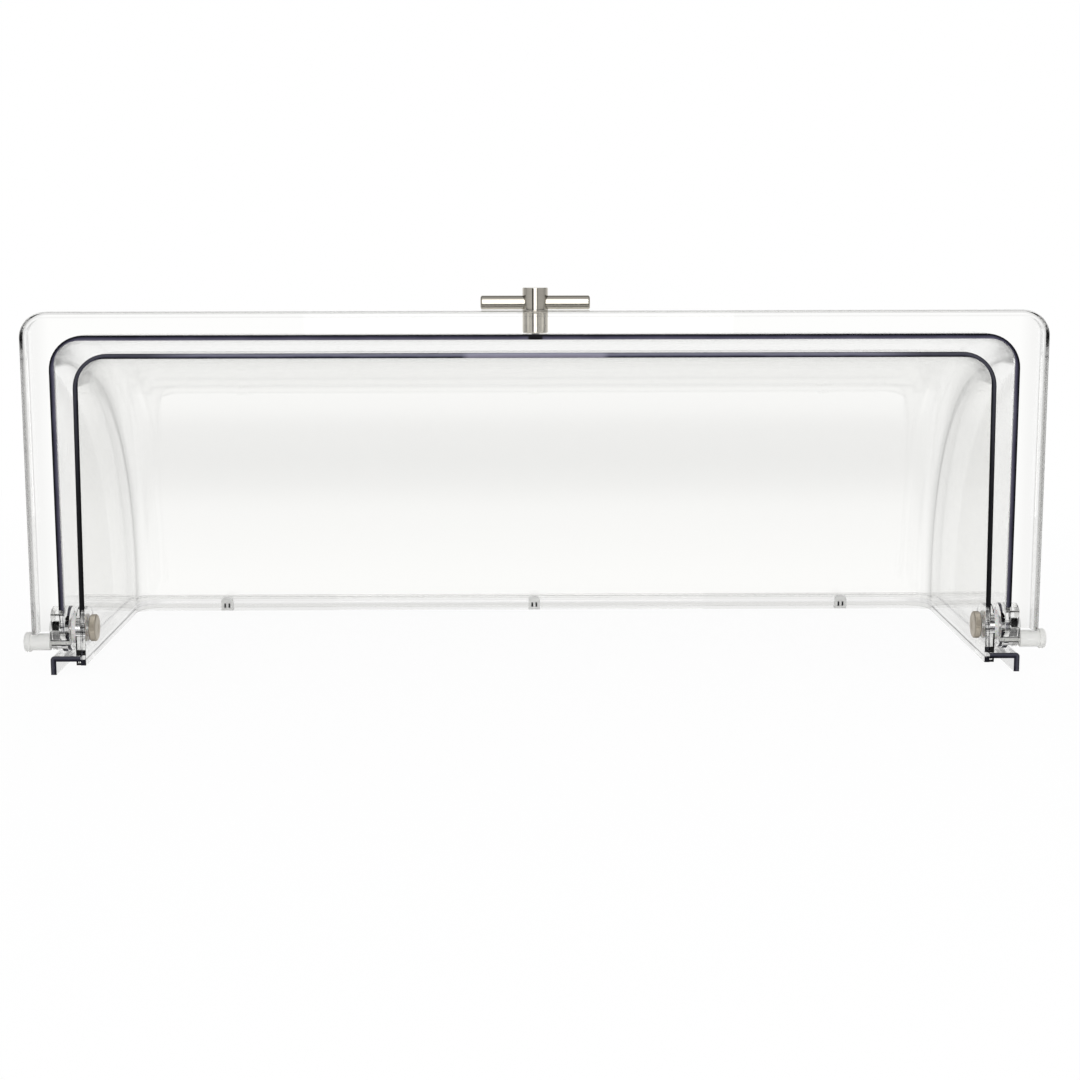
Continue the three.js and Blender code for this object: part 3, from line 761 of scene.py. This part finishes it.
def build_lid():
    """The lid: roof, side walls, outward flange with its lip, and the bosses on both faces."""
    sizes = user("cover_shell")
    wall, half = sizes.wall, LID_HIGH.x - sizes.lid_rim_reach
    corner = PIVOT.y - FRONT

    def outside(inset):
        return [
            *arc(PIVOT.y, PIVOT.z, corner, 2 * QUARTER, 3 * QUARTER, CORNER_STEPS),
            (PIVOT.y + LID_RADIUS - inset, LID_LOW.z),
            *arc(PIVOT.y, PIVOT.z, LID_RADIUS - inset, 0, QUARTER, ROOF_STEPS),
            (FRONT, LID_ROOF - inset),
        ]

    def leaning_back(y, z):
        return y - FRONT

    lid = shell_block("lid_outer", outside, half, sizes.fillet, leaning_back)
    inside = quarter_round(FRONT - PAST, LID_LOW.z - PAST, LID_RADIUS - wall)
    hollow = shell_block("hollow", inside, half - wall, sizes.lid_inner_fillet, leaning_back)
    rim = rim_block(
        LID_HIGH.x, PIVOT.z, LID_HIGH.z, sizes.lid_rim_corner, LID_LOW.y, sizes.lip_edge,
        FRONT + sizes.wall_drop + sizes.rim_thickness, lambda u, v, along: (u, along, v),
    )
    combine(lid, rim, "UNION")
    combine(lid, hollow)
    boss_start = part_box("right_spacer_washer")[1].x + sizes.seat_gap
    boss_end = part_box("right_pivot_bolt")[1].x
    both_sides(lid, disc(sizes.boss_radius, boss_start, boss_end, steps=96), "UNION")
    combine(lid, disc(sizes.bore_radius, -LID_HIGH.x, LID_HIGH.x))
    low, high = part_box("right_side_peg")
    combine(lid, disc(sizes.peg_hole, -LID_HIGH.x, LID_HIGH.x, (low + high) / 2, steps=32))
    floor = boss_end - user("cover_pivot").head_height - sizes.seat_gap
    both_sides(lid, hexagon(sizes.pocket_flats, floor, LID_HIGH.x), "DIFFERENCE")
    combine(lid, countersink())
    round_edges(lid, 0.2 * MM)
    # The lid's sawn edge gets painted shade: near black at its outer skin, and a near-black band where
    # the screw head shows through it
    edge = sawn_edge_painted_shade(
        "polycarbonate_sawn_lid_painted_shade",
        arches=((half, LID_ROOF, sizes.fillet, 0.0),),
        stops=(
            (0.0, "#020207"), (0.2, "#06060D"), (0.38, "#282736"), (0.6, "#454354"), (1.0, "#6A6876"),
        ),
        levels=((PIVOT.z, "#DDDDDD"), (LID_ROOF, "#FFFFFF")),
        runs=((0.0, "#FFFFFF"), (HOOD_HALF, "#FFFFFF")),
        clear_zone=(LID_LOW.z + wall, half),
        middle=(user("cover_handle").head_radius, 0.4 * MM, ((0.0, "#0C0B12"), (1.0, "#050407"))),
    )

    # Faces of the sawn front and of the wall's low edge at the sides carry the painted shade
    def is_cut(face):
        low = face.center.z < LID_LOW.z + wall and abs(face.center.x) > half - 2 * wall
        return on_front(face) or (low and abs(face.normal.x) < 0.2 and abs(face.center.x) < half)

    dress(lid, "lid", "clear_shell", ["lid_shell"], [clear_polycarbonate(), edge], is_cut)


def countersink():
    """The hole through the lid's roof for the handle screw."""
    shell, handle = user("cover_shell"), user("cover_handle")
    low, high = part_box("handle_post")
    bottom = LID_ROOF - shell.wall
    wide, narrow = handle.head_radius + shell.seat_gap, handle.screw_radius + shell.seat_gap
    profile = [
        (bottom - PAST, wide), (bottom, wide), (bottom + wide - narrow, narrow),
        (LID_ROOF + PAST, narrow),
    ]
    return turned("countersink", profile, (low + high) / 2, "Z", 64)


# Handle


def build_post():
    """The post, with the cross hole for the bar and the blind hole for the screw."""
    sizes = user("cover_handle")
    low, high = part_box("handle_post")
    bar_low, bar_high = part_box("handle_bar")
    centre = (low + high) / 2
    radius, chamfer = (high.x - low.x) / 2, sizes.post_chamfer
    profile = [
        (low.z, radius - chamfer), (low.z + chamfer, radius), (high.z - chamfer, radius),
        (high.z - chamfer / 3, radius - chamfer / 3), (high.z, radius - chamfer * 1.3),
    ]
    post = turned("post", profile, centre, "Z", 128)
    bar_place = (0, centre.y, (bar_low.z + bar_high.z) / 2)
    bar_hole = sizes.bar_radius + sizes.bar_clearance
    combine(post, disc(bar_hole, -2 * radius, 2 * radius, bar_place, steps=96))
    screw_hole = sizes.screw_radius + SCREW_CLEARANCE
    profile = [(low.z - PAST, screw_hole), (low.z + SCREW_HOLE_DEPTH, screw_hole)]
    combine(post, turned("screw_hole", profile, centre, "Z", 48))
    round_edges(post, 0.18 * MM, math.radians(50))
    dress(post, "lid", "satin_steel", ["handle_post"], [satin_post_steel()])


def build_bar():
    """The cross bar, with rounded and slightly dished ends."""
    low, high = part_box("handle_bar")
    radius, rounding = (high.z - low.z) / 2, user("cover_handle").bar_rounding
    half = arc(high.x - rounding, radius - rounding, rounding, QUARTER, 0, 8)
    half += [(high.x - 0.05 * MM, radius * 0.55), (high.x - 0.12 * MM, radius * 0.2)]
    profile = [(-x, r) for x, r in reversed(half)] + half
    bar = turned("bar", profile, (low + high) / 2, "X")
    dress(bar, "lid", "satin_steel", ["handle_bar"], [satin_bar_steel()])


def build_screw():
    """The countersunk screw with its hexagon socket."""
    sizes = user("cover_handle")
    low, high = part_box("handle_screw")
    centre = (low + high) / 2
    head, shank, socket = sizes.head_radius, sizes.screw_radius, sizes.socket_radius
    profile = [
        (low.z, head - 0.1 * MM), (low.z + 0.1 * MM, head), (low.z + head - shank, shank),
        (high.z - 0.4 * MM, shank), (high.z, shank - 0.4 * MM),
    ]
    screw = turned("screw", profile, centre, "Z", 64)
    profile = [(low.z - MM, socket), (low.z + sizes.socket_depth, socket)]
    combine(screw, turned("socket", profile, centre, "Z", 6))
    dress(screw, "lid", "bright_steel", ["handle_screw"], [bright_steel()])


# Pivots


def build_bolt():
    """The right pivot bolt: a chamfered hexagon head, a plain shoulder and a short thread."""
    sizes = user("cover_pivot")
    low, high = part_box("right_pivot_bolt")
    seat, flat = high.x - sizes.head_height, sizes.head_flats / 2
    corner = flat / FLATS_TO_CORNERS
    dome = [
        (seat, corner), (high.x - (corner - flat) * 0.7, corner), (high.x - 0.05 * MM, flat),
        (high.x, flat - 0.5 * MM),
    ]
    bolt = hexagon(sizes.head_flats, seat, high.x)
    combine(bolt, turned("dome", dome, PIVOT, "X"), "INTERSECT")
    thread, shoulder, bevel, ease = sizes.thread_radius, sizes.shoulder_radius, 0.3 * MM, 0.2 * MM
    start = low.x + sizes.thread_length
    shank = [
        (low.x, thread - bevel), (low.x + bevel, thread), (start, thread), (start, shoulder - ease),
        (start + ease, shoulder), (seat + MM, shoulder),
    ]
    combine(bolt, turned("shank", shank, PIVOT, "X"), "UNION")
    bolt.name = "right_bolt"
    return bolt


def build_nut():
    """The right thumb nut: a straight knurl between two chamfers, with turned rings on its face."""
    sizes = user("cover_pivot")
    low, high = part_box("right_thumb_nut")
    radius, chamfer, count = (high.z - low.z) / 2, sizes.nut_chamfer, 4 * sizes.knurl_count

    def plain(x, reach):
        circle = arc(0, 0, reach, 0, 4 * QUARTER, count)[:count]
        return [(x, PIVOT.y + u, PIVOT.z + v) for u, v in circle]

    def knurled(x, inset):
        points = []
        for i in range(count):
            reach = radius - max(inset, GROOVE[i % 4] * sizes.knurl_depth)
            a = 4 * QUARTER * i / count
            points.append((x, PIVOT.y + reach * math.cos(a), PIVOT.z + reach * math.sin(a)))
        return points

    rings = [
        plain(low.x + 0.35 * MM, radius * 0.3), plain(low.x + 0.1 * MM, radius * 0.36),
        plain(low.x + 0.02 * MM, radius * 0.44), plain(low.x, radius * 0.8),
        knurled(low.x + 0.12 * MM, chamfer), knurled(low.x + chamfer, 0),
        knurled(high.x - chamfer, 0), knurled(high.x, chamfer),
    ]
    nut = skin("right_nut_knurled", rings)
    bore = disc(sizes.thread_radius + 0.3 * MM, high.x - sizes.thread_length, high.x + MM)
    return combine(nut, bore)


def build_washer():
    """The right spacer washer."""
    bore = user("cover_shell").bore_radius
    low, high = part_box("right_spacer_washer")
    radius, rounding, bevel = (high.z - low.z) / 2, 0.4 * MM, 0.2 * MM
    profile = arc(high.x - rounding, radius - rounding, rounding, 0, QUARTER, 4)
    profile += arc(low.x + rounding, radius - rounding, rounding, QUARTER, 2 * QUARTER, 4)
    profile += [
        (low.x, bore + bevel), (low.x + bevel, bore), (high.x - bevel, bore), (high.x, bore + bevel),
    ]
    return turned("right_washer", profile, PIVOT, "X", closed=True)


def build_peg():
    """The right side peg: a thin neck, a plain shank and a round edged head with its moulding gate."""
    sizes = user("cover_pivot")
    low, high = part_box("right_side_peg")
    neck, shank, rounding = sizes.peg_neck, sizes.peg_shank, sizes.peg_rounding
    head, seat = (high.z - low.z) / 2, high.x - sizes.peg_head
    start = max(HOOD_HIGH.x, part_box("right_pivot_bolt")[1].x) + user("cover_shell").seat_gap
    profile = [
        (low.x, neck - 0.3 * MM), (low.x + 0.3 * MM, neck), (start, neck),
        (start, shank - 0.5 * MM), (start + 0.15 * MM, shank - 0.15 * MM), (start + 0.5 * MM, shank),
        (seat - 0.4 * MM, shank), (seat - 0.1 * MM, shank + 0.15 * MM), (seat, shank + 0.5 * MM),
        (seat + 0.1 * MM, head - 0.25 * MM), (seat + 0.4 * MM, head),
        *arc(high.x - rounding, head - rounding, rounding, QUARTER, 0, 8),
        (high.x, 1.3 * MM), (high.x - 0.1 * MM, 1.1 * MM), (high.x - 0.25 * MM, 0.9 * MM),
    ]
    return turned("right_peg", profile, (low + high) / 2, "X")


# Clips


def build_clip(number):
    """One rear clip: a plate with round corners and two slots, and a foot under the wall's edge. The
    slots stop at a thin web at the back, and their faces are painted near black for shade.
    """
    sizes, shell = user("cover_clip"), user("cover_shell")
    node = f"rear_clip_{number}"
    low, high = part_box(node)
    centre, half = (low.x + high.x) / 2, (high.x - low.x) / 2
    wall_bottom = shell.rim_height - shell.rim_thickness - shell.wall_drop
    back, foot_top = low.y + sizes.thickness, low.z + sizes.thickness
    side = [
        (low.y, low.z), (high.y, low.z), (high.y, foot_top), (back, foot_top), (back, high.z),
        (low.y, high.z),
    ]
    clip = slab(node + "_plate", side, (centre - half, centre + half))
    tab = arch_rings(
        half, low.z - MM, high.z, sizes.corner, [(low.y - MM, 0), (high.y + MM, 0)],
        lambda u, v, along: (centre + u, along, v),
    )
    combine(clip, skin("tab", tab), "INTERSECT")
    # A thin web closes the back of each slot, and carries the painted shade
    web = 0.3 * MM
    start, end, top = low.y - MM, back - web, wall_bottom + sizes.slot_height
    slot = [(start, wall_bottom), (end, wall_bottom), (end, top), (start, top)]
    for turn in (-1, 1):
        middle = centre + turn * sizes.slot_spacing / 2
        ends = (middle - sizes.slot_width / 2, middle + sizes.slot_width / 2)
        combine(clip, slab("slot", slot, ends))
    round_edges(clip, 0.15 * MM)

    # Faces inside the slots get the painted shade
    def in_slot(face):
        x, y, z = face.center
        beside = abs(abs(x - centre) - sizes.slot_spacing / 2) < sizes.slot_width / 2 + 2 * NEAR
        return beside and low.y + web < y < end + 10 * NEAR and wall_bottom < z < top + 2 * NEAR

    dress(clip, "hood", "frosted_nylon", [node], [frosted_nylon(), nylon_painted_shade()], in_slot)


# Stage


def build_floor():
    """A wide pale floor. The camera sees it as white that still takes the object's shadow, and it fades
    into the white studio. The reflections in the object come from the studio alone."""
    sizes = user("cover_stage")
    bm = bmesh.new()
    bmesh.ops.create_grid(bm, x_segments=8, y_segments=8, size=sizes.floor_half)
    floor = new_piece("floor", bm)
    floor.location.z = -0.02 * MM
    floor.visible_glossy = floor.visible_transmission = False
    material, add, place = new_material("paper_backdrop")
    tone = add("MapRange", (add("TexNoise", cloudy(place, 400, 2.0)), 0.3, 0.7, 0.985, 1.0))
    shade = {0: tuple(sizes.floor_colour), "Scale": tone}
    paper = add("BsdfDiffuse", (add("VectorMath", shade, operation="SCALE"),))
    white = add("Emission", (linear("#FFFFFF"), 1.0))
    away = add("VectorMath", (place,), operation="LENGTH")
    fade = (away, 0.3, 0.8, sizes.floor_lift, 1.0)
    fade = add("MapRange", fade, interpolation_type="SMOOTHSTEP")
    seen = add("LightPath").outputs["Is Camera Ray"]
    lift = add("Math", (seen, fade), operation="MULTIPLY")
    add("OutputMaterial", (add("MixShader", (lift, paper, white)),))
    floor.data.materials.append(material)


def mirrored_studio(add, way):
    """What reflections see: a softbox over the camera, dark flags beside it and grey walls."""
    front = add("Math", (way.outputs["Y"], -1.0), operation="MULTIPLY")

    # Up from the camera's side, over the top and down to the back, in degrees
    pitch = add("Math", (way.outputs["Z"], front), operation="ARCTAN2")
    pitch = add("Math", (pitch,), operation="DEGREES")
    by_pitch = ramp(add, pitch, (
        (-180, "#FFFFFF"), (-150, "#FFFFFF"), (-130, "#F4F4F4"), (-115, "#E0E0E0"), (-96, "#BCBCBC"),
        (-78, "#9F9F9F"), (-67, "#888888"), (-56, "#A0A0A0"), (-42, "#DCDCDC"), (-10, "#F8F8F8"),
        (0, "#FFFFFF"), (56, "#FFFFFF"), (64, "#DDDDDD"), (86, "#C8C8C8"), (105, "#929292"),
        (125, "#868686"), (150, "#BBBBBB"), (165, "#FFFFFF"), (180, "#FFFFFF"),
    ), -180, 180)

    # Round from the left through the camera's side to the right, in degrees
    turn = add("Math", (way.outputs["X"], front), operation="ARCTAN2")
    turn = add("Math", (turn,), operation="DEGREES")
    by_turn = ramp(add, turn, (
        (-180, "#FFFFFF"), (-150, "#FFFFFF"), (-110, "#BBBBBB"), (-60, "#CCCCCC"), (-30, "#D4D4D4"),
        (-26, "#303030"), (-15.3, "#262626"), (-14.5, "#FFFFFF"), (14.5, "#FFFFFF"), (16, "#6A6A6A"),
        (22, "#B4B4B4"), (30, "#C4C4C4"), (60, "#C4C4C4"), (110, "#BBBBBB"), (150, "#FFFFFF"),
        (180, "#FFFFFF"),
    ), -180, 180)
    over = add("MapRange", (way.outputs["Z"], -0.155, -0.125))
    under = add("MapRange", (way.outputs["Z"], 0.8, 0.88, 1.0, 0.0))
    upright = add("Math", (over, under), operation="MULTIPLY")
    flanks = add("Mix", {0: upright, 6: linear("#FFFFFF"), 7: by_turn}, data_type="RGBA")
    return add("VectorMath", (by_pitch, flanks), operation="MULTIPLY")


def bent_studio(add, way, mirrored_room):
    """What bent rays see: to the back a backdrop of limited width, the table under it and a softbox
    above, to the sides a pale wall, and to the front what reflections see."""
    sideways = add("Math", (way.outputs["X"],), operation="ABSOLUTE")
    across = ramp(add, sideways, (
        (0.0, "#FFFFFF"), (0.25, "#FFFFFF"), (0.4, "#F2F2F2"), (0.58, "#E2E2E2"), (0.72, "#CCCCCC"),
        (0.86, "#B4B4B4"), (1.0, "#B4B4B4"),
    ))
    upward = ramp(add, way.outputs["Z"], (
        (-1.0, "#F4F4F4"), (-0.45, "#F2F2F2"), (-0.3, "#EEEEEE"), (-0.22, "#E0E0E0"), (-0.19, "#FFFFFF"),
        (0.46, "#FFFFFF"), (0.62, "#DCDCDC"), (0.72, "#909090"), (0.8, "#909090"), (0.9, "#F0F0F0"),
        (1.0, "#F0F0F0"),
    ), -1.0, 1.0)
    bent = add("VectorMath", (across, upward), operation="MULTIPLY")
    to_back = add("MapRange", (way.outputs["Y"], -0.1, 0.15))
    bent = add("Mix", {0: to_back, 6: mirrored_room, 7: bent}, data_type="RGBA")
    sidelong = add("MapRange", (sideways, 0.82, 0.92))
    return add("Mix", {0: sidelong, 6: bent, 7: linear("#F6F6F6")}, data_type="RGBA")


def build_world():
    """A studio with a white backdrop and soft light all round. Reflections and bent rays each see their
    own view of it, which draws the outlines of the clear plastic."""
    world = bpy.data.worlds.new("studio")
    bpy.context.scene.world = world
    world.use_nodes = True
    world.node_tree.nodes.clear()
    add = partial(add_node, world.node_tree)
    way = add("SeparateXYZ", (add("TexCoord").outputs["Generated"],))
    mirrored_room = mirrored_studio(add, way)
    bent = bent_studio(add, way, mirrored_room)
    path = add("LightPath")
    seen = add("Background", (linear("#FBFBFF"), user("cover_stage").studio_level))
    for ray, view in (
        ("Is Glossy Ray", mirrored_room), ("Is Transmission Ray", bent),
        ("Is Camera Ray", linear("#FFFFFF")),
    ):
        shown = add("Background", (view, 1.0))
        seen = add("MixShader", (path.outputs[ray], seen, shown))
    add("OutputWorld", (seen,))


# What the lamps point at, and for each lamp its name, place, size, share of the lamp power and whether
# reflections see it
LAMP_AIM = Vector((0, 0, 0.1))
LAMPS = (
    ("lamp_main", (-0.04, -1.31, 1.02), 0.86, 1.0, True),
    ("lamp_post", (-0.01, -1.34, 0.14), 0.5, 0.26, True),
    ("lamp_right", (1.4, -0.3, 1.1), 1.0, 0.8, False),
    ("lamp_back", (0.2, 1.3, 1.4), 1.2, 0.8, False),
)


def build_lamps():
    """A softbox over the camera, a small one under it that the post reflects, and weaker ones to the
    right and to the back."""
    for name, place, size, share, glossy in LAMPS:
        data = bpy.data.lights.new(name, "AREA")
        data.size = size
        data.energy = user("cover_stage").lamp_power * share
        lamp = placed(name, data)
        lamp.location = place
        lamp.rotation_euler = (LAMP_AIM - Vector(place)).to_track_quat("-Z", "Y").to_euler()
        lamp.visible_glossy = glossy
        lamp.visible_transmission = name == "lamp_post"


# The photograph's camera, found by fitting the object's corners
CAMERA_PLACE = (-0.0073, -1.1741, 0.2529)
CAMERA_PITCH = math.radians(-9.315)
CAMERA_YAW = math.radians(-0.505)
CAMERA_ROLL = math.radians(-0.104)
CAMERA_LENS = 66.77
SENSOR_WIDTH = 36.0


def build_camera():
    """The camera at the photograph's viewing angle."""
    data = bpy.data.cameras.new("camera")
    data.lens = CAMERA_LENS
    data.sensor_width = SENSOR_WIDTH
    data.clip_start = 0.05
    camera = placed("camera", data)
    turn = (
        Matrix.Rotation(CAMERA_YAW, 4, "Z")
        @ Matrix.Rotation(QUARTER + CAMERA_PITCH, 4, "X")
        @ Matrix.Rotation(CAMERA_ROLL, 4, "Z")
    )
    camera.matrix_world = Matrix.Translation(CAMERA_PLACE) @ turn
    bpy.context.scene.camera = camera


# Operators


class COVER_OT_hood(bpy.types.Operator):
    """Builds the fixed hood"""

    bl_idname = "cover.hood"
    bl_label = "Hood"

    def execute(self, context):
        build_hood()
        return {"FINISHED"}


class COVER_OT_lid(bpy.types.Operator):
    """Builds the lid"""

    bl_idname = "cover.lid"
    bl_label = "Lid"

    def execute(self, context):
        build_lid()
        return {"FINISHED"}


class COVER_OT_handle(bpy.types.Operator):
    """Builds the handle's post, bar and screw"""

    bl_idname = "cover.handle"
    bl_label = "Handle"

    def execute(self, context):
        build_post()
        build_bar()
        build_screw()
        return {"FINISHED"}


class COVER_OT_pivots(bpy.types.Operator):
    """Builds the bolts, nuts and washers of both pivots"""

    bl_idname = "cover.pivots"
    bl_label = "Pivots"

    def execute(self, context):
        bolt, nut, washer = build_bolt(), build_nut(), build_washer()
        pairs = (
            (bolt, "bolt", "pivot_bolt", "lid", "bright_steel", bright_steel()),
            (washer, "washer", "spacer_washer", "hood", "white_nylon", moulded_nylon()),
            (nut, "nut_knurled", "thumb_nut", None, "dull_steel", knurled_steel()),
        )
        for piece, name, node, body, slot, material in pairs:
            twin = mirrored(piece, "left_" + name)
            for side, made in (("right", piece), ("left", twin)):
                dress(made, body or f"{side}_nut", slot, [f"{side}_{node}"], [material])
        return {"FINISHED"}


class COVER_OT_pegs(bpy.types.Operator):
    """Builds the two side pegs"""

    bl_idname = "cover.pegs"
    bl_label = "Side pegs"

    def execute(self, context):
        peg = build_peg()
        twin = mirrored(peg, "left_peg")
        material = frosted_nylon()
        for side, made in (("right", peg), ("left", twin)):
            dress(made, "lid", "frosted_nylon", [f"{side}_side_peg"], [material])
        return {"FINISHED"}


class COVER_OT_clips(bpy.types.Operator):
    """Builds the three rear clips"""

    bl_idname = "cover.clips"
    bl_label = "Rear clips"

    def execute(self, context):
        for number in (1, 2, 3):
            build_clip(number)
        return {"FINISHED"}


class COVER_OT_stage(bpy.types.Operator):
    """Builds the floor, the studio, the lamps and the camera"""

    bl_idname = "cover.stage"
    bl_label = "Stage"

    def execute(self, context):
        build_floor()
        build_world()
        build_lamps()
        build_camera()
        context.scene.view_settings.view_transform = "Standard"
        return {"FINISHED"}


OPERATORS = (
    COVER_OT_hood, COVER_OT_lid, COVER_OT_handle, COVER_OT_pivots, COVER_OT_pegs, COVER_OT_clips,
    COVER_OT_stage,
)


class COVER_PT_sidebar(bpy.types.Panel):
    """Lists the steps that build the cover"""

    bl_label = "Tray cover"
    bl_space_type = "VIEW_3D"
    bl_region_type = "UI"
    bl_category = "Tray cover"

    def draw(self, context):
        for operator in OPERATORS:
            self.layout.operator(operator.bl_idname)
        for name, group in GROUPS.items():
            box = self.layout.box()
            box.label(text=group.__doc__)
            for field in group.__annotations__:
                box.prop(getattr(context.scene, name), field)


CLASSES = (*GROUPS.values(), *OPERATORS, COVER_PT_sidebar)


def register():
    """Registers the classes and adds the settings to the scene."""
    for made in CLASSES:
        bpy.utils.register_class(made)
    for name, group in GROUPS.items():
        setattr(bpy.types.Scene, name, bpy.props.PointerProperty(type=group))


def unregister():
    """Takes the settings and the classes away again."""
    for name in GROUPS:
        delattr(bpy.types.Scene, name)
    for made in reversed(CLASSES):
        bpy.utils.unregister_class(made)


def main():
    """Builds every piece and the stage."""
    register()
    bpy.ops.cover.hood()
    bpy.ops.cover.lid()
    bpy.ops.cover.handle()
    bpy.ops.cover.pivots()
    bpy.ops.cover.pegs()
    bpy.ops.cover.clips()
    bpy.ops.cover.stage()


if __name__ == "__main__":
    main()
